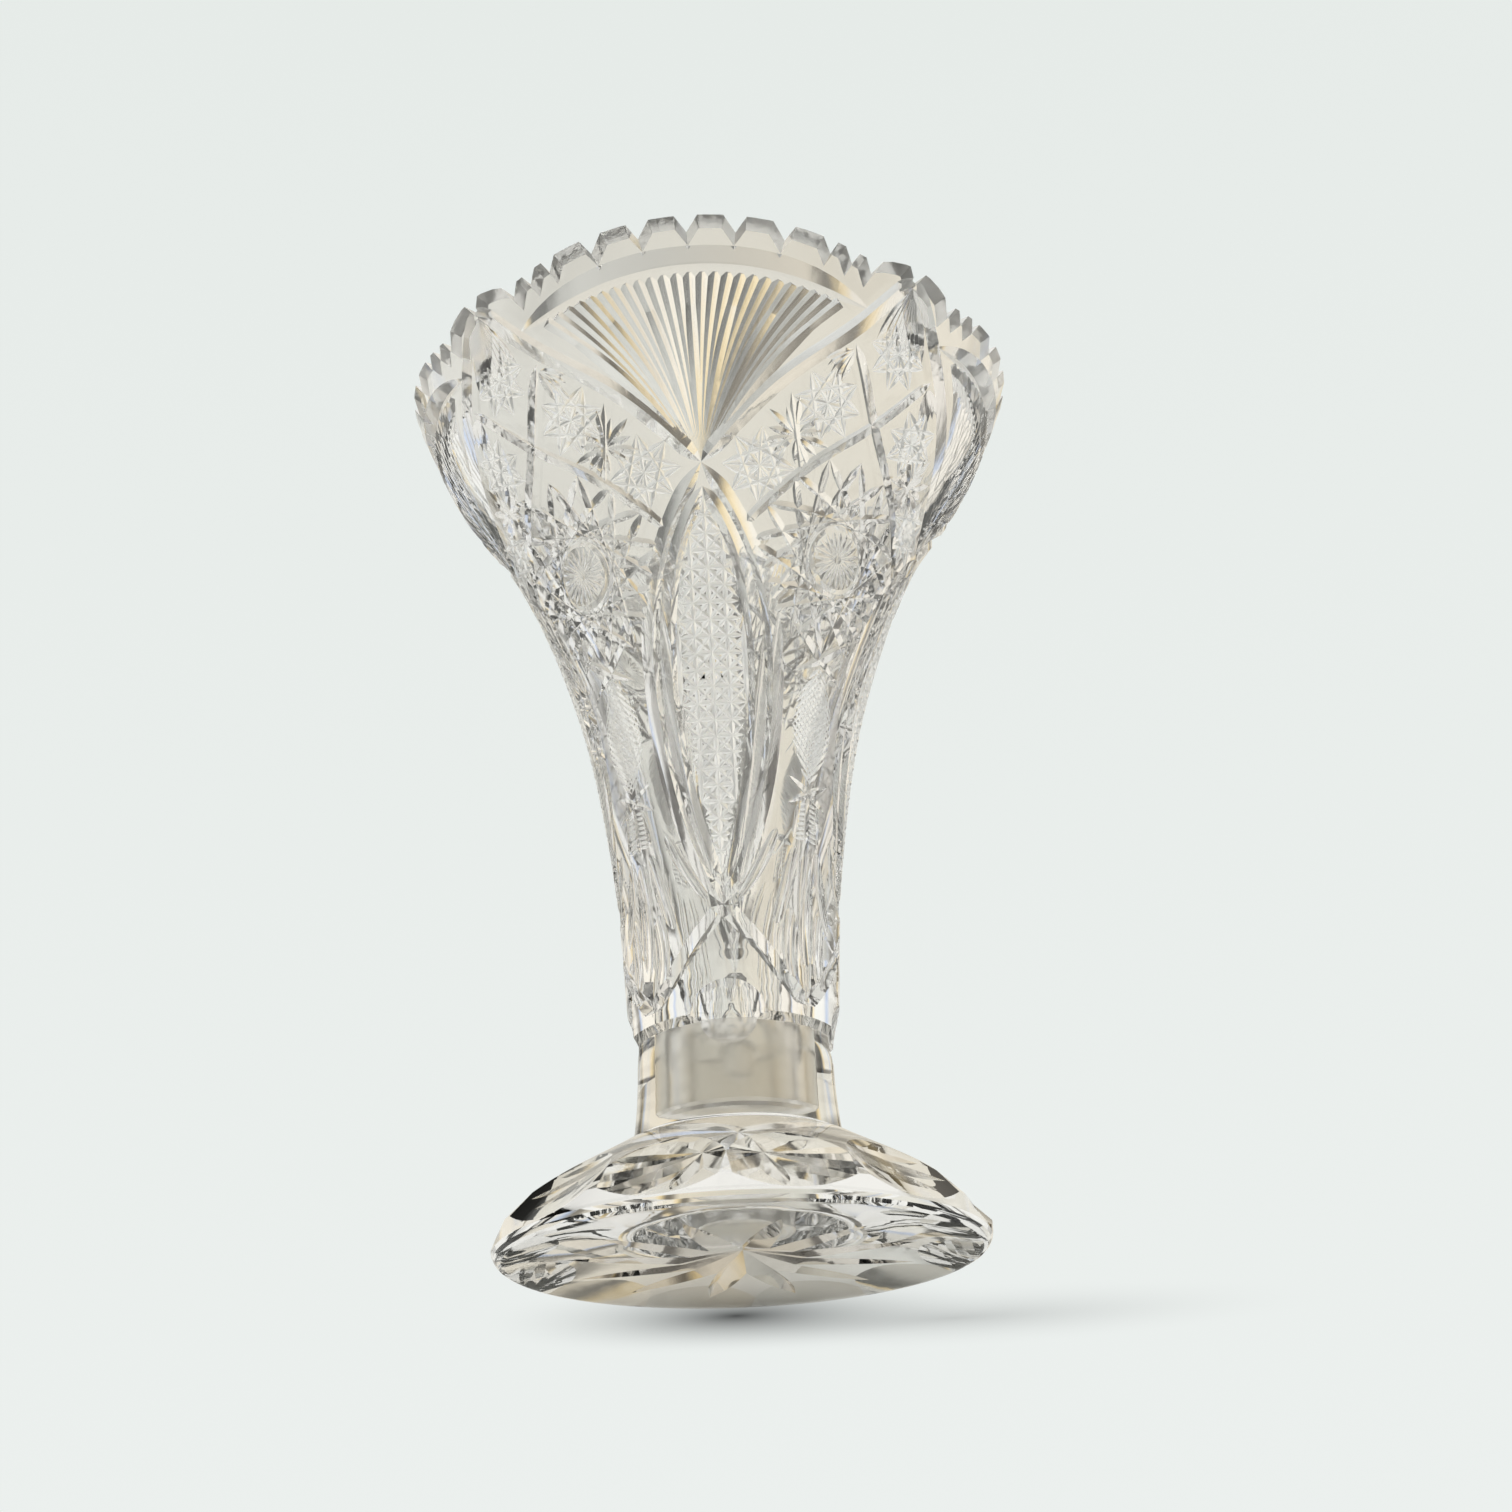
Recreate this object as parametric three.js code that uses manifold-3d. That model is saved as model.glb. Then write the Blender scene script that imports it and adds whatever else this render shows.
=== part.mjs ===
// Cut-glass trumpet vase: a blown and wheel-cut trumpet with a serrated rim, on a star-cut foot.
import * as THREE from 'three';
import { mergeVertices } from 'three/addons/utils/BufferGeometryUtils.js';
import Module from 'manifold-3d';

const wasm = await Module();
wasm.setup();

// Overall sizes, in millimetres
const totalHeight = 254;
const rimRadius = 88;
const footRadius = 62;
const footHeight = 30;

// The thick hollow neck and the wall of the trumpet
const neckRadius = 26.6;
const neckWaistRadius = 25.2;
const cutStart = 56;
const ledgeRadius = 27;
const boreRadius = 13;
const boreFloor = 36;
const boreTopShare = 0.1;
const rimWall = 6.5;
const wallSwell = 2.5;
const jointGap = 0.3;

// How far the trumpet has opened, from the ledge to the rim, at shares of the height between them
const flareShares = [0, 0.25, 0.5, 0.74, 0.87, 1];
const flareSpread = [0, 0.066, 0.229, 0.54, 0.818, 1];

// The serrated rim: a broad lobe over each fan and a small one over each corner, with teeth all along
const panelCount = 4;
const lobeDip = 5.5;
const cornerDip = 2.2;
const dipAngle = 35;
const notchDepth = 5.2;
const notchWidth = 6.6;
const smallNotchDepth = 3.8;
const smallNotchWidth = 4.4;
const wideTeethPerLobe = 6;
const smallTeethPerDip = 2;
const smallTeethAngle = 8.75;

// The wheel's V: half its width for each millimetre of depth, and how far a cutter clears the blank
const mitreSlope = 1.25;
const cutterLift = 2;
const endRise = 0.08;
const boatRise = 0.5;

// Widths of the cuts, in millimetres
const fanMitreWidth = 4.4;
const bandMitreWidth = 3.2;
const vesicaMitreWidth = 4.2;
const rayWidth = 2.6;
const arcGrooveWidth = 5.6;
const hobMitreWidth = 2;
const panelMitreWidth = 2.2;
const starCutWidth = 1.8;
const tallFluteWidth = 6.4;
const sideFluteWidth = 4.6;
const waistFluteWidth = 3.2;

// Where the cuts meet: degrees from the middle of a panel, and share of the height of the cut body
const fanPoint = [0, 0.714];
const fanBend = [32.5, 0.879];
const corner = [45, 0.979];
const waistCrossing = [0, 0.138];
const vesicaSide = [[17, 0.59], [26, 0.42], [21, 0.278]];
const innerSide = [[12.5, 0.59], [18, 0.41], [13, 0.278]];
const ledgeCorner = [45, 0.0135];
const bandStart = [12.5, 0.642];
const bandCrossing = [45, 0.789];
const bandEnd = [55, 0.864];
const arcEnd = [35, 0.915];
const arcTop = [0, 0.945];
const raySpread = 34;
const rayTopShare = 0.925;
const rayTopFall = 0.03;
const rayCount = 7;
const hobCentre = [45, 0.617];
const hobRadius = 26.5;
const hobPoints = 8;
const hobReach = 3;
const panelTop = [45, 0.484];
const panelSide = [32.5, 0.4];
const panelBottom = [45, 0.303];
const bandStars = [[16, 0.712], [31.2, 0.794], [45, 0.875], [-16, 0.712], [-31.2, 0.794]];
const starRadius = 9;
const starCuts = 4;
const tallFlute = [[45, 0.062], [45, 0.138], [45, 0.215]];
const sideFlute = [[26.6, 0.114], [33, 0.165], [38.2, 0.222]];
const waistFlute = [[7.6, 0.145], [20, 0.196], [28, 0.242]];

// Punties: round shallow dishes over the ledge, one under each panel
const puntyRadius = 10;
const puntyDepth = 1.6;
const puntyHeight = 57.5;

// The foot: a bevelled edge, a crease, and a dome with broad flutes; a star below
const footEdgeHeight = 3.5;
const footChamfer = 1.6;
const creaseRadius = 54.5;
const creaseHeight = 12;
const footFillet = 3;
const footFluteCount = 12;
const footFluteDepth = 1.3;
const footStarRays = 12;
const footStarReach = 56;
const footStarRayWidth = 12;
const footStarSlope = 1.7;

// How finely the round faces and the cuts are divided
const aroundBody = 36;
const aroundFoot = 48;
const outerRows = 8;
const innerRows = 4;
const longSteps = 4;
const bowedSteps = 5;
const shortSteps = 2;
const puntySteps = 3;
const aroundPunty = 16;
const spread = new THREE.CubicInterpolant(flareShares, flareSpread, 1);

const clearGlass = new THREE.MeshStandardMaterial({
  color: 0xe9eeee,
  roughness: 0.03,
  metalness: 0,
});

/** Turns a closed geometry into a solid. */
function solidOf(geometry) {
  geometry.deleteAttribute('normal');
  geometry.deleteAttribute('uv');
  const merged = mergeVertices(geometry, 1e-4);
  return new wasm.Manifold(new wasm.Mesh({
    numProp: 3,
    vertProperties: new Float32Array(merged.attributes.position.array),
    triVerts: new Uint32Array(merged.index.array),
  }));
}

/** Keeps the vase and lets go the slivers of glass that crossing cuts set free. */
function withoutChips(solid) {
  return solid.decompose().reduce((largest, piece) => (piece.volume() > largest.volume() ? piece : largest));
}

/** Turns a finished solid into a named mesh of clear glass. */
function glassMesh(name, solid) {
  const { vertProperties, triVerts } = solid.getMesh();
  const geometry = new THREE.BufferGeometry();
  geometry.setAttribute('position', new THREE.BufferAttribute(vertProperties, 3));
  geometry.setIndex(new THREE.BufferAttribute(triVerts, 1));
  geometry.computeVertexNormals();
  const mesh = new THREE.Mesh(geometry, clearGlass);
  mesh.name = name;
  return mesh;
}

/** Revolves a profile of [radius, height] pairs round the upright axis. */
function revolve(profile, segments) {
  const points = profile.map(([radius, height]) => new THREE.Vector2(radius, height));
  return new THREE.LatheGeometry(points, segments).rotateX(Math.PI / 2);
}

const cutHeight = totalHeight - cutStart;
const heightAt = (share) => cutStart + cutHeight * share;

/** Outer radius of the trumpet at a height on its cut part. */
function outerRadius(height) {
  const share = THREE.MathUtils.clamp((height - cutStart) / cutHeight, 0, 1);
  return ledgeRadius + (rimRadius - ledgeRadius) * spread.evaluate(share)[0];
}

/** Radius of the hollow: the wall thins from the neck's to the rim's. */
function innerRadius(height) {
  const boreTop = heightAt(boreTopShare);
  const share = (height - boreTop) / (totalHeight - boreTop);
  const neckWall = outerRadius(boreTop) - boreRadius;
  const wall = rimWall + (neckWall - rimWall) * (1 - share) ** wallSwell;
  return outerRadius(height) - wall;
}

/** How far the rim lies below its highest teeth, at degrees from the middle of a panel. */
function rimDip(angle) {
  const panelAngle = 360 / panelCount;
  const fromMiddle = Math.abs(angle - panelAngle * Math.round(angle / panelAngle));
  if (fromMiddle < dipAngle) return lobeDip * (fromMiddle / dipAngle) ** 2;
  const fromCorner = (panelAngle / 2 - fromMiddle) / (panelAngle / 2 - dipAngle);
  return cornerDip + (lobeDip - cornerDip) * fromCorner ** 2;
}

/** A point on the blank, with angle 0 towards the front, and the direction out of the glass there. */
function onBlank(angle, height) {
  const turn = THREE.MathUtils.degToRad(angle);
  const radius = outerRadius(height);
  const rise = 1;
  const slope = (outerRadius(height + rise) - outerRadius(height - rise)) / (2 * rise);
  const point = new THREE.Vector3(radius * Math.sin(turn), -radius * Math.cos(turn), height);
  const out = new THREE.Vector3(Math.sin(turn), -Math.cos(turn), -slope).normalize();
  return { point, out };
}

/** A V-section cutter along a row of places, each with its own depth of cut. */
function mitreCutter(places, depths, slope = mitreSlope) {
  const positions = [];
  places.forEach(({ point, out }, i) => {
    const ahead = places[Math.min(i + 1, places.length - 1)].point;
    const behind = places[Math.max(i - 1, 0)].point;
    const along = ahead.clone().sub(behind).normalize();
    const across = new THREE.Vector3().crossVectors(out, along).normalize();
    const halfWidth = (depths[i] + cutterLift) * slope;
    const root = point.clone().addScaledVector(out, -depths[i]);
    const top = point.clone().addScaledVector(out, cutterLift);
    const right = top.clone().addScaledVector(across, halfWidth);
    const left = top.clone().addScaledVector(across, -halfWidth);
    positions.push(...root.toArray(), ...right.toArray(), ...left.toArray());
  });
  const index = [0, 2, 1];
  for (let i = 0; i + 1 < places.length; i++) {
    for (let side = 0; side < 3; side++) {
      const here = 3 * i + side;
      const beside = 3 * i + ((side + 1) % 3);
      index.push(here, beside, beside + 3, here, beside + 3, here + 3);
    }
  }
  const last = 3 * (places.length - 1);
  index.push(last, last + 1, last + 2);
  const geometry = new THREE.BufferGeometry();
  geometry.setAttribute('position', new THREE.BufferAttribute(new Float32Array(positions), 3));
  geometry.setIndex(index);
  return solidOf(geometry);
}

/** A groove through points of [angle, share], full depth except where it rises at its ends. */
function grooveOnBody(points, width, steps, rise) {
  const corners = points.map(([angle, share]) => new THREE.Vector2(angle, heightAt(share)));
  const path = new THREE.SplineCurve(corners);
  const places = [];
  const depths = [];
  for (let i = 0; i <= steps; i++) {
    const along = i / steps;
    const here = path.getPoint(along);
    places.push(onBlank(here.x, here.y));
    depths.push(width / 2 / mitreSlope * Math.min(1, Math.min(along, 1 - along) / rise));
  }
  return mitreCutter(places, depths);
}

/** The place on the body a few millimetres sideways and up from a point of [angle, share]. */
function beside([angle, share], sideways, up) {
  const height = heightAt(share);
  const radius = outerRadius(height);
  const turn = THREE.MathUtils.radToDeg(sideways / radius);
  const { out } = onBlank(angle, height);
  const rise = up * Math.hypot(out.x, out.y);
  return [angle + turn, share + rise / cutHeight];
}

/** A straight cut across a centre, between two points of a circle round it. */
function chord(centre, radius, fromTurn, toTurn, width) {
  const onCircle = (turn) => beside(centre, radius * Math.sin(turn), radius * Math.cos(turn));
  const ends = [onCircle(fromTurn), onCircle(toTurn)];
  const middle = [(ends[0][0] + ends[1][0]) / 2, (ends[0][1] + ends[1][1]) / 2];
  return grooveOnBody([ends[0], middle, ends[1]], width, shortSteps, boatRise);
}

/** The long mitres that divide the body into fans, bands and pointed ovals. */
function framingMitres(side) {
  const flip = ([angle, share]) => [side * angle, share];
  const vesica = (bowed) => [fanPoint, ...bowed, waistCrossing].map(flip);
  return [
    grooveOnBody([fanPoint, fanBend, corner].map(flip), fanMitreWidth, longSteps, endRise),
    grooveOnBody([bandStart, bandCrossing, bandEnd].map(flip), bandMitreWidth, longSteps, endRise),
    grooveOnBody(vesica(vesicaSide), vesicaMitreWidth, bowedSteps, endRise),
    grooveOnBody(vesica(innerSide), vesicaMitreWidth, bowedSteps, endRise),
    grooveOnBody([waistCrossing, ledgeCorner].map(flip), vesicaMitreWidth, shortSteps, endRise),
    grooveOnBody([panelTop, panelSide, panelBottom].map(flip), panelMitreWidth, shortSteps, endRise),
  ];
}

/** The fan over the middle of a panel: rays from its point, under one arched groove. */
function fanCuts() {
  const arc = [[-arcEnd[0], arcEnd[1]], arcTop, arcEnd];
  const cuts = [grooveOnBody(arc, arcGrooveWidth, longSteps, boatRise)];
  for (let i = 0; i < rayCount; i++) {
    const lean = THREE.MathUtils.lerp(-raySpread, raySpread, (i + 0.5) / rayCount);
    const top = [lean, rayTopShare - rayTopFall * (lean / raySpread) ** 2];
    cuts.push(grooveOnBody([fanPoint, top], rayWidth, shortSteps, boatRise));
  }
  return cuts;
}

/** Eight-pointed stars in the band between the fan and the second mitre. */
function bandStarCuts() {
  return bandStars.flatMap((centre) => Array.from({ length: starCuts }, (_, i) => {
    const turn = i * Math.PI / starCuts;
    return chord(centre, starRadius, turn, turn + Math.PI, starCutWidth);
  }));
}

/** The hobstar on a corner line: crossing chords that leave a round hub. */
function hobstarCuts() {
  const step = 2 * Math.PI / hobPoints;
  return Array.from({ length: hobPoints }, (_, i) => chord(
    hobCentre, hobRadius, i * step, (i + hobReach) * step, hobMitreWidth,
  ));
}

/** Pointed flutes low on the cut part: a tall one on the corner line, and two to each side of a panel. */
function fluteCuts() {
  const cuts = [grooveOnBody(tallFlute, tallFluteWidth, longSteps, boatRise)];
  for (const side of [-1, 1]) {
    const flip = ([angle, share]) => [side * angle, share];
    cuts.push(grooveOnBody(sideFlute.map(flip), sideFluteWidth, longSteps, boatRise));
    cuts.push(grooveOnBody(waistFlute.map(flip), waistFluteWidth, longSteps, boatRise));
  }
  return cuts;
}

/** A round dish ground into the glass just over the ledge, by a small round-edged wheel. */
function puntyCut() {
  const wheelRadius = (puntyRadius ** 2 + puntyDepth ** 2) / (2 * puntyDepth);
  const edgeTurn = Math.asin(puntyRadius * 1.3 / wheelRadius);
  const profile = [];
  for (let i = 0; i <= puntySteps; i++) {
    const turn = edgeTurn * i / puntySteps;
    profile.push(new THREE.Vector2(wheelRadius * Math.sin(turn), wheelRadius * (1 - Math.cos(turn))));
  }
  profile.push(new THREE.Vector2(0, wheelRadius));
  const wheel = new THREE.LatheGeometry(profile, aroundPunty).rotateX(Math.PI);
  return solidOf(wheel.translate(0, puntyDepth - outerRadius(puntyHeight), puntyHeight));
}

/** A V notch through the rim, between two teeth. */
function rimNotch(angle, depth, width) {
  const floor = totalHeight - rimDip(angle) - depth;
  const reach = 2;
  const shape = new THREE.Shape([
    new THREE.Vector2(0, 0),
    new THREE.Vector2(width / 2 * reach, depth * reach),
    new THREE.Vector2(-width / 2 * reach, depth * reach),
  ]);
  const length = rimWall * 3;
  const prism = new THREE.ExtrudeGeometry(shape, { depth: length, bevelEnabled: false });
  prism.rotateX(Math.PI / 2);
  prism.translate(0, -rimRadius + length * 0.6, floor);
  return solidOf(prism.rotateZ(THREE.MathUtils.degToRad(angle)));
}

/** Every notch of one panel, from its middle to both corners. */
function panelNotches() {
  const wideAngle = (dipAngle - smallTeethAngle) / (wideTeethPerLobe / 2);
  const smallAngle = smallTeethAngle / smallTeethPerDip;
  const cuts = [rimNotch(0, notchDepth, notchWidth)];
  for (const side of [-1, 1]) {
    for (let i = 1; i < wideTeethPerLobe / 2; i++) {
      cuts.push(rimNotch(side * i * wideAngle, notchDepth, notchWidth));
    }
    for (let i = 0; i <= smallTeethPerDip; i++) {
      cuts.push(rimNotch(side * (dipAngle - i * smallAngle), smallNotchDepth, smallNotchWidth));
    }
  }
  cuts.push(rimNotch(180 / panelCount, notchDepth, notchWidth));
  return cuts;
}

/** The blown blank, before any cutting, with the rim's lobes. */
function trumpetBlank() {
  const floor = footHeight + jointGap;
  const profile = [[0, floor], [neckRadius, floor], [neckWaistRadius, (floor + cutStart) / 2 + 6]];
  profile.push([neckWaistRadius, cutStart - (ledgeRadius - neckWaistRadius)]);
  for (let i = 0; i <= outerRows; i++) {
    const height = heightAt(i / outerRows);
    profile.push([outerRadius(height), height]);
  }
  const boreTop = heightAt(boreTopShare);
  for (let i = 0; i <= innerRows; i++) {
    const height = THREE.MathUtils.lerp(totalHeight, boreTop, i / innerRows);
    profile.push([innerRadius(height), height]);
  }
  profile.push([boreRadius, boreFloor], [0, boreFloor]);
  const geometry = revolve(profile, aroundBody);
  const corners = geometry.attributes.position;
  for (let i = 0; i < corners.count; i++) {
    const height = corners.getZ(i);
    if (height < totalHeight - 1e-3) continue;
    const angle = THREE.MathUtils.radToDeg(Math.atan2(corners.getX(i), -corners.getY(i)));
    corners.setZ(i, height - rimDip(angle));
  }
  return solidOf(geometry);
}

function trumpetBody() {
  const panel = wasm.Manifold.union([
    ...framingMitres(-1), ...framingMitres(1), ...fanCuts(), ...bandStarCuts(), ...hobstarCuts(),
    ...fluteCuts(), puntyCut(), ...panelNotches(),
  ]);
  let body = trumpetBlank();
  for (let i = 0; i < panelCount; i++) {
    body = body.subtract(panel.rotate([0, 0, i * 360 / panelCount]));
  }
  return glassMesh('trumpet_body', withoutChips(body));
}

/** One ray of the star under the foot, from its centre to a point near the edge. */
function footStarRay(turn) {
  const outward = new THREE.Vector3(Math.sin(turn), -Math.cos(turn), 0);
  const down = new THREE.Vector3(0, 0, -1);
  const shares = [0, 0.45, 1];
  const pointAt = (share) => outward.clone().multiplyScalar(footStarReach * share);
  const places = shares.map((share) => ({ point: pointAt(share), out: down }));
  const fullDepth = footStarRayWidth / 2 / footStarSlope;
  return mitreCutter(places, [fullDepth, fullDepth, 0], footStarSlope);
}

/** One broad flute on the dome of the foot, ground by the face of a big wheel. */
function footFlute(turn) {
  const halfChord = creaseRadius * Math.sin(Math.PI / footFluteCount);
  const wheelRadius = (halfChord ** 2 + footFluteDepth ** 2) / (2 * footFluteDepth);
  const run = creaseRadius - neckRadius;
  const rise = footHeight - creaseHeight;
  const slope = Math.atan2(rise, run);
  const wheel = new THREE.CylinderGeometry(wheelRadius, wheelRadius, run * 4, 72);
  wheel.rotateX(slope);
  const outward = wheelRadius - footFluteDepth;
  const chordRadius = creaseRadius * Math.cos(Math.PI / footFluteCount);
  wheel.translate(0, -chordRadius - outward * Math.sin(slope), creaseHeight + outward * Math.cos(slope));
  return solidOf(wheel.rotateZ(turn));
}

function foot() {
  const profile = [
    [0, 0], [footRadius - footChamfer, 0], [footRadius, footChamfer], [footRadius, footEdgeHeight],
    [creaseRadius, creaseHeight], [neckRadius + footFillet, footHeight - footFillet / 2],
    [neckRadius, footHeight], [0, footHeight],
  ];
  const blank = solidOf(revolve(profile, aroundFoot));
  const cuts = [];
  for (let i = 0; i < footStarRays; i++) cuts.push(footStarRay((i + 0.5) * 2 * Math.PI / footStarRays));
  for (let i = 0; i < footFluteCount; i++) cuts.push(footFlute((i + 0.5) * 2 * Math.PI / footFluteCount));
  return glassMesh('foot', blank.subtract(wasm.Manifold.union(cuts)));
}

const group = new THREE.Group();
group.add(trumpetBody(), foot());

export default group;
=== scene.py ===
# A cut-crystal trumpet vase: a heavy blown body, cut all over on mitre wheels, fused to a star-cut foot.
import math

import bmesh
import bpy
from mathutils import Matrix, Vector


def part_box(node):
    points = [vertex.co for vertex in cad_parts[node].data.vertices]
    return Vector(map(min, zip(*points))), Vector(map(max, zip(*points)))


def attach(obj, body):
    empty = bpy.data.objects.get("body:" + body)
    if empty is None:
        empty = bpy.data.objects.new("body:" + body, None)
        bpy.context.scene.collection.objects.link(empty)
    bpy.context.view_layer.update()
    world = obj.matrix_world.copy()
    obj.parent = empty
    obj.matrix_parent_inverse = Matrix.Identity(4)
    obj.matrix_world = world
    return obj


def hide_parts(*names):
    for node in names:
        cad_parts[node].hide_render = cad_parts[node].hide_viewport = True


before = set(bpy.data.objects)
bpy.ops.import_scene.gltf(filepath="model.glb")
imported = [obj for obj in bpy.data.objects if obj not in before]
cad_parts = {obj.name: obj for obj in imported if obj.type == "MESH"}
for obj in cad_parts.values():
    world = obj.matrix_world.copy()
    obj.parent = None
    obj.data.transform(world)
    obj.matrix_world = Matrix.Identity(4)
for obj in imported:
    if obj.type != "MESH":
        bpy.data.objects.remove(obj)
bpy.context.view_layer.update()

body_low, body_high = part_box("trumpet_body")
foot_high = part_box("foot")[1]
mm = 0.001

# The glass: full lead crystal, cut on stone and iron wheels and then polished back to clear in acid.
# It bends light strongly, so each cut shows as a bright and a dark wall, and it has hardly any colour.
crystal_index = 1.545


def linear(hex_colour):
    """A colour written as sRGB hex, as the linear colour that a shader takes."""
    channels = [int(hex_colour[i:i + 2], 16) / 255 for i in (1, 3, 5)]
    return [c / 12.92 if c <= 0.04045 else ((c + 0.055) / 1.055) ** 2.4 for c in channels] + [1]


def plug(tree, socket, value):
    """Gives an input a fixed value, or links another node's output to it."""
    if isinstance(value, bpy.types.NodeSocket):
        tree.links.new(value, socket)
    else:
        socket.default_value = value


def add_node(tree, kind, settings=(), inputs=()):
    """Adds a node, sets its properties, and plugs in its inputs, each by its name or its number."""
    node = tree.nodes.new(kind)
    for name, value in dict(settings).items():
        setattr(node, name, value)
    for place, value in dict(inputs).items():
        plug(tree, node.inputs[place], value)
    return node


def mixed_colour(tree, share, first, second, blend="MIX"):
    """Two colours mixed by a share. The node's colour sockets come after those for other kinds of data."""
    mix = add_node(tree, "ShaderNodeMix", {"data_type": "RGBA", "blend_type": blend},
                   {0: share, 6: first, 7: second})
    return mix.outputs[2]


def crystal(name, tint, clear_tint, roughness, mark_size, wave_height, frost=0):
    """Crystal whose surface keeps faint marks of its making, of a size and a height in metres. Its roughness
    goes between two values from mark to mark. The frost is the share of the light that it scatters white."""
    material = bpy.data.materials.new(name)
    material.use_nodes = True
    tree = material.node_tree
    place = add_node(tree, "ShaderNodeTexCoord")
    marks = add_node(tree, "ShaderNodeTexNoise", inputs={
        "Vector": place.outputs["Object"], "Scale": 1 / mark_size, "Detail": 3}).outputs["Fac"]
    cloud = add_node(tree, "ShaderNodeMapRange", inputs={
        "Value": marks, "To Min": roughness[0], "To Max": roughness[1]})
    wave = add_node(tree, "ShaderNodeBump", inputs={"Height": marks, "Distance": wave_height})
    shader = tree.nodes["Principled BSDF"]
    for socket, value in (
        ("Base Color", mixed_colour(tree, marks, linear(tint), linear(clear_tint))),
        ("IOR", crystal_index),
        ("Transmission Weight", 1 - frost),
        ("Roughness", cloud.outputs["Result"]),
        ("Normal", wave.outputs["Normal"]),
    ):
        plug(tree, shader.inputs[socket], value)
    return material


# Fire-polished skin: very smooth, with the slow waves that blowing leaves, about 25 mm apart
blown_skin = crystal("fire_polished_crystal", "#fbfcfb", "#fefefd", roughness=(0, 0.02), mark_size=25 * mm,
                     wave_height=0.12 * mm)
# Acid-polished cuts: the wheel's marks are rounded to a fine orange peel, about 2 mm across
polished_cut = crystal("acid_polished_crystal", "#fafbfa", "#fefefe", roughness=(0.005, 0.02),
                       mark_size=2 * mm, wave_height=0.01 * mm, frost=0.05)
# Fine cuts are too narrow to polish fully: they stay silky, and show as crisp white lines
silky_cut = crystal("silky_cut_crystal", "#f8f9f8", "#fdfdfd", roughness=(0.05, 0.09), mark_size=0.6 * mm,
                    wave_height=0.01 * mm, frost=0.45)
# The hollow is hard to reach with a wheel, and keeps an even haze that softens what is seen through it
hazed_hollow = crystal("hazed_hollow_crystal", "#fbfcfb", "#fefefd", roughness=(0.045, 0.06),
                       mark_size=12 * mm, wave_height=0.02 * mm, frost=0.03)
# The bore in the neck can't be polished at all: it stays satin, and shows through the neck as a grey column
satin_bore = crystal("satin_bore_crystal", "#f4f1ea", "#fbfaf6", roughness=(0.2, 0.26), mark_size=4 * mm,
                     wave_height=0.01 * mm, frost=0.3)
# The star under the foot is tinted grey, darker than the rest of the glass: painted shade for the darker
# star
painted_shade_star = crystal("painted_shade_star_crystal", "#b5b0a8", "#cbc6be", roughness=(0.04, 0.09),
                    mark_size=3 * mm, wave_height=0.02 * mm)
# Solid glass 50 mm thick, in the neck and the dome of the foot, shows the faint straw tint of the lead
thick_glass = crystal("thick_straw_crystal", "#e2ded2", "#efece3", roughness=(0, 0.015), mark_size=20 * mm,
                      wave_height=0.1 * mm)

# Where the foot is stuck to the neck while both are hot the glass is one, so no surface shows there
fused_joint = bpy.data.materials.new("fused_crystal_joint")
fused_joint.use_nodes = True
fused_tree = fused_joint.node_tree
fused_tree.nodes.remove(fused_tree.nodes["Principled BSDF"])
open_glass = add_node(fused_tree, "ShaderNodeBsdfTransparent")
plug(fused_tree, fused_tree.nodes["Material Output"].inputs["Surface"], open_glass.outputs["BSDF"])

# Both pieces carry every finish. A new face has the first one, the skin, and each cut brings its own number.
glass_finishes = (blown_skin, polished_cut, silky_cut, hazed_hollow, satin_bore, painted_shade_star, thick_glass,
                  fused_joint)
polished, silky, hazed, satin, grey, thick, fused = range(1, len(glass_finishes))


def give_finishes(mesh):
    """Gives a mesh the slots that its faces' finish numbers point to."""
    for material in glass_finishes:
        mesh.materials.append(material)


def meshed(built, name):
    """The mesh of what has been built, which is then let go."""
    mesh = bpy.data.meshes.new(name)
    built.to_mesh(mesh)
    built.free()
    return mesh


def placed(name, data):
    """A new object, put in the scene."""
    made = bpy.data.objects.new(name, data)
    bpy.context.scene.collection.objects.link(made)
    return made


# The blank: a trumpet blown thick in lead crystal, 6.5 mm at the rim and more below. Its bore ends just over
# the foot. One eighth is made, from the middle of a panel to a corner, cut, and then repeated.
panels = 4
corner_angle = 180 / panels
rim_radius = (body_high.x - body_low.x) / 2
rim_height = body_high.z
neck_foot = foot_high.z
cut_start = 56 * mm
cut_height = rim_height - cut_start
ledge_radius = 27 * mm
neck_radius = 26.6 * mm
waist_radius = 25.2 * mm
waist_height = 49 * mm
bore_radius = 13 * mm
bore_floor = 32 * mm
bore_dish = 4 * mm
satin_top = 58 * mm
bore_top_share = 0.1
bore_ripple = 0.03 * mm
ripple_spacing = 4.5 * mm
rim_wall = 6.5 * mm
wall_swell = 2.5
flare_shares = (0, 0.25, 0.5, 0.74, 0.87, 1)
flare_spread = (0, 0.066, 0.229, 0.54, 0.818, 1)
neck_rows = 8
outer_rows = 40
inner_rows = 20
bore_rows = 44
ripple_fade_rows = 3
wedge_margin = 3
wedge_step = 3
weld_distance = 0.0001 * mm


def flare_slope(i):
    """How steeply the flare opens at one of its points: the mean of the stretches beside it."""
    stretches = [k for k in (i - 1, i) if 0 <= k < len(flare_shares) - 1]
    slopes = [(flare_spread[k + 1] - flare_spread[k]) / (flare_shares[k + 1] - flare_shares[k])
              for k in stretches]
    return sum(slopes) / len(slopes)


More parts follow.
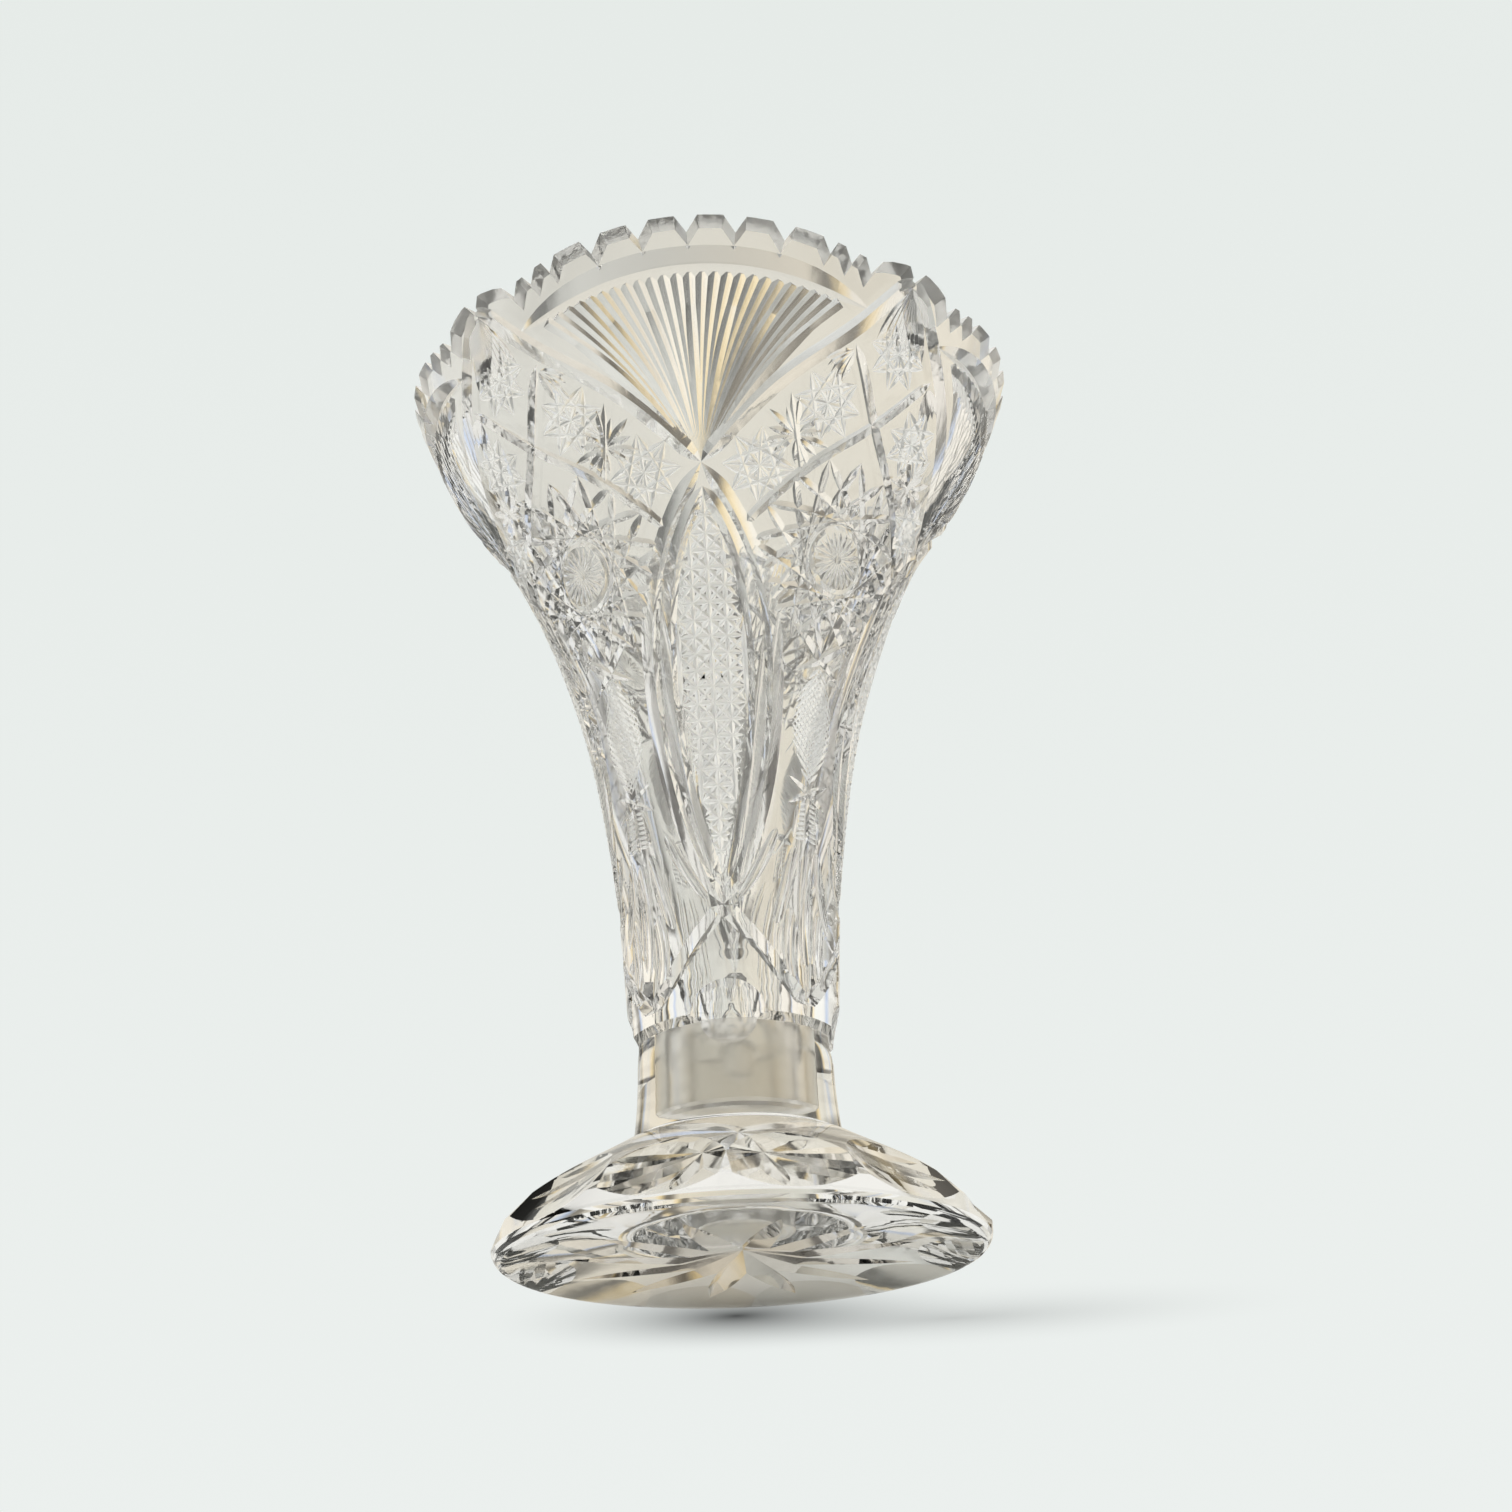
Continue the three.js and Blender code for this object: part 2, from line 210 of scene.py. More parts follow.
def outer_radius(share):
    """The blank's outer radius at a share of the height between the ledge and the rim."""
    share = min(max(share, 0), 1)
    i = max(k for k in range(len(flare_shares) - 1) if flare_shares[k] <= share)
    step = flare_shares[i + 1] - flare_shares[i]
    t = (share - flare_shares[i]) / step
    spread = (flare_spread[i] * (2 * t ** 3 - 3 * t ** 2 + 1)
              + flare_spread[i + 1] * (3 * t ** 2 - 2 * t ** 3)
              + step * flare_slope(i) * (t ** 3 - 2 * t ** 2 + t)
              + step * flare_slope(i + 1) * (t ** 3 - t ** 2))
    return ledge_radius + (rim_radius - ledge_radius) * spread


def inner_radius(share):
    """The radius of the hollow: the wall thins from the bore up to the rim."""
    neck_wall = outer_radius(bore_top_share) - bore_radius
    rise = (share - bore_top_share) / (1 - bore_top_share)
    return outer_radius(share) - rim_wall - (neck_wall - rim_wall) * (1 - rise) ** wall_swell


def height_at(share):
    return cut_start + cut_height * share


def share_at(height):
    return (height - cut_start) / cut_height


def round_from(angle, radius, height):
    """A point at an angle in degrees from the front, turning towards +X."""
    turn = math.radians(angle)
    return Vector((radius * math.sin(turn), -radius * math.cos(turn), height))


lobe_dip = 5.5 * mm
corner_dip = 2.2 * mm
dip_angle = 35
dip_reach = 30 * mm


def rim_dip(angle):
    """How far the rim lies below its highest point: a broad lobe over a panel, a small one at a corner."""
    from_middle = abs((angle + corner_angle) % (2 * corner_angle) - corner_angle)
    if from_middle < dip_angle:
        return lobe_dip * (from_middle / dip_angle) ** 2
    to_corner = (corner_angle - from_middle) / (corner_angle - dip_angle)
    return corner_dip + (lobe_dip - corner_dip) * to_corner ** 2


blank = bmesh.new()
section = [(0, neck_foot), (neck_radius, neck_foot)]
for i in range(1, neck_rows + 1):
    rise = i / neck_rows
    flare_out = (1 - rise) ** 2
    section.append((waist_radius + (neck_radius - waist_radius) * flare_out,
                    neck_foot + (waist_height - neck_foot) * rise))
section.append((waist_radius, cut_start - (ledge_radius - waist_radius)))
section += [(outer_radius(i / outer_rows), height_at(i / outer_rows)) for i in range(outer_rows + 1)]
for i in range(inner_rows + 1):
    share = 1 + (bore_top_share - 1) * i / inner_rows
    section.append((inner_radius(share), height_at(share)))
for i in range(1, bore_rows + 1):
    height = height_at(bore_top_share) + (bore_floor + bore_dish - height_at(bore_top_share)) * i / bore_rows
    ripple = bore_ripple * math.sin(2 * math.pi * height / ripple_spacing)
    section.append((bore_radius + ripple * min(1, i / ripple_fade_rows), height))
section += [(bore_radius * math.cos(math.radians(turn)),
             bore_floor + bore_dish * (1 - math.sin(math.radians(turn)))) for turn in range(15, 90, 15)]
section.append((0, bore_floor))
blank.faces.new([blank.verts.new(round_from(-wedge_margin, radius, height)) for radius, height in section])
wedge = corner_angle + 2 * wedge_margin
bmesh.ops.spin(blank, geom=blank.verts[:] + blank.edges[:] + blank.faces[:], cent=(0, 0, 0), axis=(0, 0, 1),
               angle=math.radians(wedge), steps=round(wedge / wedge_step))
bmesh.ops.remove_doubles(blank, verts=blank.verts, dist=weld_distance)
for corner in blank.verts:
    height = corner.co.z
    over = height - (rim_height - dip_reach)
    if over > 0:
        angle = math.degrees(math.atan2(corner.co.x, -corner.co.y))
        is_outer = corner.co.xy.length > outer_radius(share_at(height)) - rim_wall / 2
        height -= rim_dip(angle) * over / dip_reach
        surface = outer_radius if is_outer else inner_radius
        corner.co = round_from(angle, surface(share_at(height)), height)
for face in blank.faces:
    middle = face.calc_center_median()
    off_axis = middle.xy.length
    skin_radius = outer_radius(share_at(middle.z))
    hollow_radius = max(bore_radius, inner_radius(share_at(middle.z)))
    if middle.z > bore_floor - weld_distance and off_axis < hollow_radius + rim_wall / 4:
        face.material_index = hazed if middle.z > satin_top else satin
    elif middle.z > rim_height - 2 * lobe_dip and off_axis < skin_radius - rim_wall / 4:
        face.material_index = silky
    elif middle.z < cut_start:
        face.material_index = thick
bmesh.ops.recalc_face_normals(blank, faces=blank.faces)

# The wheels: a mitre wheel has a V edge and leaves a groove with two flat walls. A round-edged wheel leaves
# a flute. Each cutter is a straight bar, bent along its cut over the curved glass and risen at its ends.
# A three-sided bar of radius 1 is 1.5 deep from its corner to its back.
mitre_slope = 1.25
cutter_lift = 1.5 * mm
end_clearance = 0.04 * mm
flute_sides = 40
bar_depth = 1.5
bar_half_width = math.sin(math.pi / 3)
quarters = (0, 0.25, 0.5, 0.75, 1)
straight_bars = {}


def divide(bar, steps):
    """Divides a bar one unit long into steps along its length."""
    long_edges = [e for e in bar.edges if abs(e.verts[0].co.z - e.verts[1].co.z) > 0.5]
    if steps > 1:
        bmesh.ops.subdivide_edges(bar, edges=long_edges, cuts=steps - 1)


def straight_bar(sides, steps):
    """A straight bar one unit long with one corner down, divided along its length."""
    if (sides, steps) not in straight_bars:
        bar = bmesh.new()
        bmesh.ops.create_cone(bar, cap_ends=True, segments=sides, radius1=1, radius2=1, depth=1)
        bmesh.ops.rotate(bar, verts=bar.verts, matrix=Matrix.Rotation(math.pi, 3, "Z"))
        divide(bar, steps)
        bmesh.ops.triangulate(bar, faces=bar.faces)
        straight_bars[sides, steps] = meshed(bar, "straight_bar")
    return straight_bars[sides, steps]


def glass_slope(share, near=0.01):
    """How much wider the blank gets for each metre up, at a share of its height."""
    return (outer_radius(share + near) - outer_radius(share - near)) / (2 * near * cut_height)


def on_glass(angle, share):
    """A point on the blank's outer surface, and the direction out of the glass there."""
    out = round_from(angle, 1, 0) - Vector((0, 0, glass_slope(share, near=0.005)))
    return round_from(angle, outer_radius(share), height_at(share)), out.normalized()


def through(*points):
    """A smooth route through points of (angle, share), as a function of how far along it is, from 0 to 1."""
    def route(along):
        spans = len(points) - 1
        i = min(int(along * spans), spans - 1)
        t = along * spans - i
        a, b = points[i], points[i + 1]
        before = points[i - 1] if i else [2 * a[k] - b[k] for k in (0, 1)]
        after = points[i + 2] if i + 2 <= spans else [2 * b[k] - a[k] for k in (0, 1)]
        return [0.5 * (2 * a[k] + (b[k] - before[k]) * t
                       + (2 * before[k] - 5 * a[k] + 4 * b[k] - after[k]) * t ** 2
                       + (3 * a[k] - before[k] - 3 * b[k] + after[k]) * t ** 3) for k in (0, 1)]
    return route


def full(along):
    """The depth of a cut that has no ends, such as a ring."""
    return 1


def broad(along):
    """The depth of a wide cut that keeps nearly its full depth and runs out softly at both ends."""
    return 1 - (2 * along - 1) ** 4


def level(along, rise=0.08):
    """The depth of a long cut: full, with a short rise at each end."""
    return math.sin(math.pi / 2 * min(1, along / rise, (1 - along) / rise))


def boat(along):
    """The depth of a short cut, which follows the round of the wheel."""
    return 1 - (2 * along - 1) ** 2


def fanned(along):
    """The depth of a ray that opens from a point and runs out into the cut above it."""
    return along


def cut(name, route, width, depth_along=level, steps=8, slope=mitre_slope, round_depth=None,
        finish=polished):
    """A cutter along a route: a V as wide as given at full depth, or a round flute of its own depth."""
    full_depth = round_depth or width / 2 / slope
    flute_radius = ((width / 2) ** 2 + full_depth ** 2) / (2 * full_depth)
    near = 0.02
    stations = {}
    bar = bmesh.new()
    bar.from_mesh(straight_bar(flute_sides if round_depth else 3, steps))
    for corner in bar.verts:
        along = min(max(corner.co.z + 0.5, 0), 1)
        key = round(along * steps)
        if key not in stations:
            point, out = on_glass(*route(along))
            ahead = on_glass(*route(min(along + near, 1)))[0]
            behind = on_glass(*route(max(along - near, 0)))[0]
            across = out.cross(ahead - behind).normalized()
            depth = full_depth * depth_along(along) - (end_clearance if key in (0, steps) else 0)
            stations[key] = point, out, across, depth
        point, out, across, depth = stations[key]
        if round_depth:
            sideways = corner.co.x * flute_radius
            up = (corner.co.y + 1) * flute_radius - depth
        else:
            sideways = corner.co.x / bar_half_width * (depth + cutter_lift) * slope
            up = (corner.co.y + 1) / bar_depth * (depth + cutter_lift) - depth
        corner.co = point + across * sideways + out * up
    return finished_cutter(meshed(bar, name), finish)


def finished_cutter(mesh, finish):
    """Gives a cutter the glass's finishes, so that what it grinds keeps the finish of that cut."""
    give_finishes(mesh)
    for face in mesh.polygons:
        face.material_index = finish
    return bpy.data.objects.new(mesh.name, mesh)


def beside(centre, sideways, up):
    """The point of (angle, share) that lies so many metres sideways and up the glass from a centre."""
    share = centre[1] + up / math.hypot(1, glass_slope(centre[1])) / cut_height
    return centre[0] + math.degrees(sideways / outer_radius(share)), share


def spoke(centre, turn, start, end):
    """A straight route outwards from a centre, at a turn in degrees from upwards, between two radii."""
    lean = math.radians(turn)
    return through(*(beside(centre, radius * math.sin(lean), radius * math.cos(lean))
                     for radius in (start, end)))


def chord(centre, radius, turn_from, turn_to):
    """A straight route between two points of a circle round a centre."""
    ends = [(radius * math.sin(math.radians(turn)), radius * math.cos(math.radians(turn)))
            for turn in (turn_from, turn_to)]
    return through(*(beside(centre, *(ends[0][k] + (ends[1][k] - ends[0][k]) * t for k in (0, 1)))
                     for t in quarters))


def mirrored(route, about=0):
    """The same route on the other side of a line at an angle."""
    def other_side(along):
        angle, share = route(along)
        return 2 * about - angle, share
    return other_side


cuts = []

# Framing mitres, the deep V cuts made first, divide each panel into a fan, two bands and a pointed oval.
# They cross at the point of the fan and again low on the waist, and run on across the corners.
fan_point = (0, 0.714)
corner_point = (45, 0.978)
waist_cross = (0, 0.138)
ledge_corner = (45, 0.0135)
fan_mitre_width = 5 * mm
band_mitre_width = 3.1 * mm
oval_mitre_width = 4.8 * mm
arm_width = 4.4 * mm
fan_edge = through(fan_point, (16, 0.795), (32.5, 0.879), corner_point)
band_edge = through((11, 0.634), (28, 0.713), (45, 0.789), (56, 0.868))
outer_oval = through(fan_point, (9, 0.655), (17.4, 0.585), (23.8, 0.5), (25.6, 0.41), (24, 0.335),
                     (19, 0.262), (10.5, 0.195), waist_cross)
inner_oval = through((0, 0.685), (6, 0.642), (11.6, 0.585), (16, 0.5), (17.8, 0.41), (16.2, 0.33),
                     (12, 0.258), (6, 0.2), (0, 0.162))
waist_arm = through(waist_cross, (14, 0.098), (30, 0.051), ledge_corner)
for side_name in ("right", "left"):
    for part_name, route, width, steps in (
        ("fan_edge", fan_edge, fan_mitre_width, 26),
        ("outer_oval", outer_oval, oval_mitre_width, 40),
        ("inner_oval", inner_oval, oval_mitre_width, 36),
        ("waist_arm", waist_arm, arm_width, 12),
    ):
        side_route = route if side_name == "right" else mirrored(route)
        cuts.append(cut(f"{part_name}_{side_name}", side_route, width, steps=steps))
cuts.append(cut("band_edge", band_edge, band_mitre_width, steps=18))
cuts.append(cut("band_edge_next", mirrored(band_edge, corner_angle), band_mitre_width, steps=18))
cuts.append(cut("fan_edge_next", mirrored(fan_edge, corner_angle), fan_mitre_width, steps=26))
cuts.append(cut("waist_arm_next", mirrored(waist_arm, corner_angle), arm_width, steps=12))

# The fan: narrow rays side by side from the fan's point, every fourth one cut again deeper, all ending in
# one wide shallow arched cut under the clear band of the rim.
ray_spacing = 2.43
rays_each_side = 12
ray_overlap = 1.03
ray_top = 0.93
ray_top_fall = 0.022
ray_fall_angle = 30
deep_every = 4
deep_ray_width = 4.4 * mm
deep_ray_start = 0.12
arch_top = 0.942
arch_foot = (36, 0.911)
arch_width = 8.6 * mm
arch_slope = 1.9
for k in range(-2, rays_each_side + 1):
    lean = k * ray_spacing
    top = (lean, ray_top - ray_top_fall * (lean / ray_fall_angle) ** 2)
    width = math.radians(ray_spacing) * outer_radius(top[1]) * ray_overlap
    cuts.append(cut(f"ray_{k}", through(fan_point, top), width, depth_along=fanned, steps=14))
    if k % deep_every == 0:
        deep_start = tuple(fan_point[i] + (top[i] - fan_point[i]) * deep_ray_start for i in (0, 1))
        route = through(deep_start, top)
        cuts.append(cut(f"deep_ray_{k}", route, deep_ray_width, depth_along=boat, steps=14))


def arch(along):
    """The arched cut, from one edge of the fan to the other."""
    angle = arch_foot[0] * (2 * along - 1)
    return angle, arch_top - (arch_top - arch_foot[1]) * (angle / arch_foot[0]) ** 2


cuts.append(cut("arch", arch, arch_width, depth_along=broad, steps=48, slope=arch_slope))

# Under each corner point a small fan of rays opens downwards, over the star on the corner line
corner_ray_point = (45, 0.968)
corner_rays = 9
corner_ray_lean = 25
corner_ray_start = 1 * mm
corner_ray_length = 21 * mm
corner_ray_width = 3 * mm
for k in range(corner_rays):
    lean = 180 + corner_ray_lean * (2 * k / (corner_rays - 1) - 1)
    route = spoke(corner_ray_point, lean, corner_ray_start, corner_ray_length)
    cuts.append(cut(f"corner_ray_{k}", route, corner_ray_width, depth_along=boat, steps=5))

# Band stars: eight-pointed stars of crossing chords, with lines through the middle and a heart of short cuts
band_stars = ((15.7, 0.711), (31.2, 0.794), (45, 0.875))
star_radius = 10.4 * mm
star_points = 8
star_chord_width = 1.4 * mm
star_line_width = 1.1 * mm
star_line_reach = star_radius * 1.04
star_heart_start = 0.3 * mm
star_heart = 4.6 * mm
star_heart_width = 0.8 * mm
for number, centre in enumerate(band_stars):
    for k in range(star_points):
        turn = k * 360 / star_points
        route = chord(centre, star_radius, turn, turn + 3 * 360 / star_points)
        cuts.append(cut(f"star_{number}_chord_{k}", route, star_chord_width, steps=5, finish=silky))
        route = spoke(centre, turn + 180 / star_points, star_heart_start, star_heart)
        cuts.append(cut(f"star_{number}_heart_{k}", route, star_heart_width, depth_along=boat, steps=2,
                        finish=silky))
        if k < star_points / 2:
            route = chord(centre, star_line_reach, turn, turn + 180)
            cuts.append(cut(f"star_{number}_line_{k}", route, star_line_width, depth_along=boat, steps=6,
                            finish=silky))

# Between the first two stars a short mitre divides the band, with a burst of long and short rays beside it.
# A smaller spray of rays fills the gap before the star on the corner line.
divider = through((21.6, 0.8), (28.6, 0.7))
divider_width = 2 * mm
burst_centre = (24.6, 0.7514)
burst_start = 0.7 * mm
burst_lengths = (10.5 * mm, 8 * mm)
burst_width = 2.1 * mm
burst_rays = 6
burst_first_turn = 24
burst_turn_step = 26
burst_tilt = 20
gap_centre = (34.6, 0.862)
gap_rays = 5
gap_first_turn = 192
gap_turn_step = 12
gap_ray_start = 0.8 * mm
gap_ray_length = 10 * mm
gap_ray_width = 2.4 * mm
cuts.append(cut("band_divider", divider, divider_width, steps=6))
for side in (-1, 1):
    for k in range(burst_rays):
        turn = side * (burst_first_turn + burst_turn_step * k) + burst_tilt
        route = spoke(burst_centre, turn, burst_start, burst_lengths[k % 2])
        cuts.append(cut(f"burst_{side}_{k}", route, burst_width, depth_along=boat, steps=4))
for k in range(gap_rays):
    route = spoke(gap_centre, gap_first_turn + gap_turn_step * k, gap_ray_start, gap_ray_length)
    cuts.append(cut(f"gap_ray_{k}", route, gap_ray_width, depth_along=boat, steps=4))

# The hobstar on the corner line: sixteen long chords that leave a round hub, a rosette of small flutes cut
# into the hub, and short cuts that fill each point. Two shallow mitres cross under its lowest point.
hob_centre = (45, 0.617)
hub_radius = 10.4 * mm
hob_reach = 27 * mm
hob_points = 16
hob_skip = 6
hob_chord_width = 2.4 * mm
petals = 20
petal_start = 0.9 * mm
petal_reach = 8.1 * mm
petal_width = 1.5 * mm
petal_depth = 0.45 * mm
hub_bevel_width = 2.4 * mm
hub_bevel_slope = 2.4
hub_overlap = 2
point_cut_start = 12.2 * mm
point_cut_width = 1.5 * mm
point_cuts = ((19.5 * mm, 0), (15.5 * mm, 5.5), (15.5 * mm, -5.5))
for k in range(hob_points):
    turn = k * 360 / hob_points
    route = chord(hob_centre, hob_reach, turn, turn + hob_skip * 360 / hob_points)
    cuts.append(cut(f"hob_chord_{k}", route, hob_chord_width, steps=12))
for k in range(hob_points):
    turn = (k + 0.5) * 360 / hob_points
    for reach, lean in point_cuts:
        route = spoke(hob_centre, turn + lean, point_cut_start, reach)
        cuts.append(cut(f"hob_point_{k}_{lean}", route, point_cut_width, depth_along=boat, steps=3))
for k in range(petals):
    route = spoke(hob_centre, (k + 0.5) * 360 / petals, petal_start, petal_reach)
    cuts.append(cut(f"petal_{k}", route, petal_width, depth_along=boat, steps=4, round_depth=petal_depth))


def hub_edge(start):
    """Half of the ring round the hub from a turn in degrees, a little past its ends."""
    def route(along):
        turn = math.radians(start - hub_overlap + (180 + 2 * hub_overlap) * along)
        ring = hub_radius - hub_bevel_width / 2
        return beside(hob_centre, ring * math.sin(turn), ring * math.cos(turn))
    return route


for half in range(2):
    cuts.append(cut(f"hub_edge_{half}", hub_edge(180 * half), hub_bevel_width, depth_along=full, steps=28,
                    slope=hub_bevel_slope))
low_cross = through((27.5, 0.53), (37, 0.504), (45, 0.482), (58, 0.456))
low_cross_width = 2.8 * mm
hatch_cross = through((32.5, 0.279), (45, 0.2985), (57.5, 0.318))
hatch_cross_width = 2.2 * mm
for name, route, width in (
    ("low_cross", low_cross, low_cross_width), ("hatch_cross", hatch_cross, hatch_cross_width),
):
    cuts.append(cut(name, route, width, depth_along=boat, steps=10))
    cuts.append(cut(f"{name}_next", mirrored(route, corner_angle), width, depth_along=boat, steps=10))

# The hatched oval on the corner line: fine mitres cut both ways, close enough to leave small sharp diamonds.
# These straight cuts run a little past the seam of the eighth, and bend to the glass every few millimetres.
hatch_middle = (45, 0.392)
hatch_half_height = 16.6 * mm
hatch_half_width = 7.3 * mm
hatch_spacing = 1.25 * mm
hatch_width = 1.16 * mm
hatch_lean = math.radians(42)
hatch_rise = 0.04
hatch_lines_each_way = 16
shortest_hatch = 1.2 * mm
seam_overlap = 2 * mm
bend_spacing = 4 * mm


def inside_span(middle, direction, outline):
    """The stretch of a straight line that lies inside an outline, found by walking both ways along it."""
    reach = 60 * mm
    step = 0.25 * mm
    count = int(reach / step)
    inside = [i * step for i in range(-count, count + 1) if outline(*(middle + direction * (i * step)))]
    return (min(inside), max(inside)) if inside else (0, 0)


def in_hatched_oval(x, y):
    """A pointed oval, cut off a little past the corner line."""
    if abs(y) >= hatch_half_height or x > seam_overlap:
        return False
    return abs(x) < hatch_half_width * (1 - (y / hatch_half_height) ** 2)


for lean_side in (-1, 1):
    direction = Vector((lean_side * math.sin(hatch_lean), math.cos(hatch_lean)))
    normal = Vector((direction.y, -direction.x))
    for k in range(-hatch_lines_each_way, hatch_lines_each_way + 1):
        middle = normal * (k + 0.5) * hatch_spacing
        low_end, high_end = inside_span(middle, direction, in_hatched_oval)
        if high_end - low_end > shortest_hatch:
            ends = [beside(hatch_middle, *(middle + direction * reach)) for reach in (low_end, high_end)]
            steps = max(2, round((high_end - low_end) / bend_spacing))
            cuts.append(cut(f"hatch_{lean_side}_{k}", through(*ends), hatch_width,
                            depth_along=lambda along: level(along, hatch_rise), steps=steps, finish=silky))

# The lattice inside the pointed oval: upright, level and slanting mitres that meet in eight-rayed crossings
lattice_spacing = 4.35 * mm
lattice_width = 1.5 * mm
lattice_slant_width = 1.35 * mm
lattice_rise = 0.03
lattice_rows_each_way = 11
lattice_columns = 3
column_middle = -3 * mm
shortest_lattice_cut = 1 * mm
lattice_middle = (0, 0.43)
lattice_edge = ((0.163, 0), (0.2, 3), (0.258, 7.2), (0.33, 11.6), (0.41, 13.9), (0.5, 12.7), (0.585, 8.6),
                (0.642, 3.6), (0.672, 0))


def lattice_half_angle(share):
    """Half of the oval's width in degrees, inside the mitres that frame it."""
    for (low, a), (high, b) in zip(lattice_edge, lattice_edge[1:]):
        if low <= share <= high:
            return a + (b - a) * (share - low) / (high - low)
    return 0


def in_lattice(x, y):
    """Inside the framing mitres, cut off a little past the middle line."""
    share = lattice_middle[1] + y / cut_height
    limit = math.radians(lattice_half_angle(share)) * outer_radius(share)
    return -seam_overlap < x < limit


def on_lattice(x, y):
    """The point of (angle, share) at metres sideways round the glass and upwards."""
    share = lattice_middle[1] + y / cut_height
    return math.degrees(x / outer_radius(share)), share


lattice_lines = []
for k in range(-lattice_rows_each_way, lattice_rows_each_way):
    lattice_lines.append((Vector((0, k * lattice_spacing)), Vector((1, 0)), lattice_width))
    for lean_side in (-1, 1):
        slant = Vector((lean_side, 1)).normalized()
        lattice_lines.append((Vector((0, k * lattice_spacing)), slant, lattice_slant_width))
for k in range(lattice_columns):
    lattice_lines.append((Vector((k * lattice_spacing, column_middle)), Vector((0, 1)), lattice_width))
for number, (middle, direction, width) in enumerate(lattice_lines):
    low_end, high_end = inside_span(middle, direction, in_lattice)
    if high_end - low_end > shortest_lattice_cut:
        points = [on_lattice(*(middle + direction * (low_end + (high_end - low_end) * t))) for t in quarters]
        steps = max(4, round((high_end - low_end) / bend_spacing))
        cuts.append(cut(f"lattice_{number}", through(*points), width,
                        depth_along=lambda along: level(along, lattice_rise), steps=steps, finish=silky))

# Flutes low on the body, cut by a round-edged wheel: a tall one on the corner line, leaning ones beside it
tall_flute = through((45, 0.062), (45, 0.14), (45, 0.218))
side_flute = through((26.6, 0.114), (33, 0.165), (38.2, 0.224))
waist_flute = through((7.8, 0.146), (20, 0.197), (28, 0.243))
low_flute = through((36, 0.043), (34.8, 0.09), (35.5, 0.14))
for name, route, width, depth in (
    ("tall_flute", tall_flute, 5.8 * mm, 1.3 * mm), ("side_flute", side_flute, 4.2 * mm, 1.1 * mm),
    ("waist_flute", waist_flute, 3.4 * mm, 1.1 * mm), ("low_flute", low_flute, 5 * mm, 1 * mm),
):
    cuts.append(cut(name, route, width, depth_along=boat, steps=14, round_depth=depth))
    if route is not tall_flute:
        for about in (0, corner_angle):
            cuts.append(cut(f"{name}_{about}", mirrored(route, about), width, depth_along=boat, steps=14,
                            round_depth=depth))

# A short ladder of small cuts to each side of the corner line, between the tall flute and the hatched oval.
# Its rungs get shorter and lie lower from the first to the last.
ladder_lines = (through((45, 0.292), (45, 0.226)), through((39.2, 0.286), (36.8, 0.232)))
ladder_line_width = 1.3 * mm
rungs = 8
rung_width = 0.95 * mm
rung_inner_angle = 44.4
rung_outer_angle = 39.8
rung_outer_drift = 2.2
rung_top = 0.281
rung_drop = 0.047
rung_tilt = 0.003
for number, route in enumerate(ladder_lines):
    cuts.append(cut(f"ladder_side_{number}", route, ladder_line_width, steps=5))
for k in range(rungs):
    done = k / (rungs - 1)
    share = rung_top - rung_drop * done
    outer_angle = rung_outer_angle - rung_outer_drift * done
    rung = through((outer_angle, share), (rung_inner_angle, share + rung_tilt))
    cuts.append(cut(f"rung_{k}", rung, rung_width, depth_along=boat, steps=3, finish=silky))

# Punties: round shallow dishes ground over the ledge under each panel, by a wheel with a round face
punty_wheel = 22 * mm
punty_depth = 4 * mm
punty_height = 54.8 * mm
punty_squash = 0.7
dish = bmesh.new()
bmesh.ops.create_icosphere(dish, subdivisions=5, radius=punty_wheel)
bmesh.ops.scale(dish, verts=dish.verts, vec=(1, 1, punty_squash))
bmesh.ops.translate(dish, verts=dish.verts, vec=(0, punty_depth - ledge_radius - punty_wheel, punty_height))
cuts.append(finished_cutter(meshed(dish, "punty"), polished))

# The saw-tooth rim: V notches ground through the edge, wide over the fans and narrow towards the corners.
# Each cutter reaches well over the rim, and lies across the wall from outside.
notch_depth = 4.2 * mm
notch_width = 6.2 * mm
small_notch_depth = 3.6 * mm
small_notch_width = 4.4 * mm
notch_reach = 2.5
notch_length = 3.5 * rim_wall
notches = ((0, notch_depth, notch_width), (8.6, notch_depth, notch_width), (17.4, notch_depth, notch_width),
           (26.1, small_notch_depth, small_notch_width), (30.6, small_notch_depth, small_notch_width),
           (35, small_notch_depth, small_notch_width), (45, notch_depth, notch_width))
for number, (angle, depth, width) in enumerate(notches):
    notch = bmesh.new()
    bmesh.ops.create_cone(notch, cap_ends=True, segments=3, radius1=1, radius2=1, depth=notch_length)
    for corner in notch.verts:
        corner.co.x *= width / 2 * notch_reach / bar_half_width
        corner.co.y = (1 - corner.co.y) / bar_depth * depth * notch_reach
    floor_height = rim_height - rim_dip(angle) - depth
    lay = Matrix.Rotation(math.pi / 2, 4, "X")
    place = Matrix.Translation((0, -rim_radius + notch_length / 4, floor_height))
    turn = Matrix.Rotation(math.radians(angle), 4, "Z")
    bmesh.ops.transform(notch, verts=notch.verts, matrix=turn @ place @ lay)
    bmesh.ops.recalc_face_normals(notch, faces=notch.faces)
    cuts.append(finished_cutter(meshed(notch, f"rim_notch_{number}"), silky))

# Cutting: all cutters are taken from the glass in one go, then the eighth is mirrored and repeated
joint_tolerance = 0.01 * mm
joint_flatness = 0.99
sharp_angle = math.radians(12)
chip_size = 0.002 * mm
seam_thickness = 0.003 * mm
seam_weld = 0.001 * mm


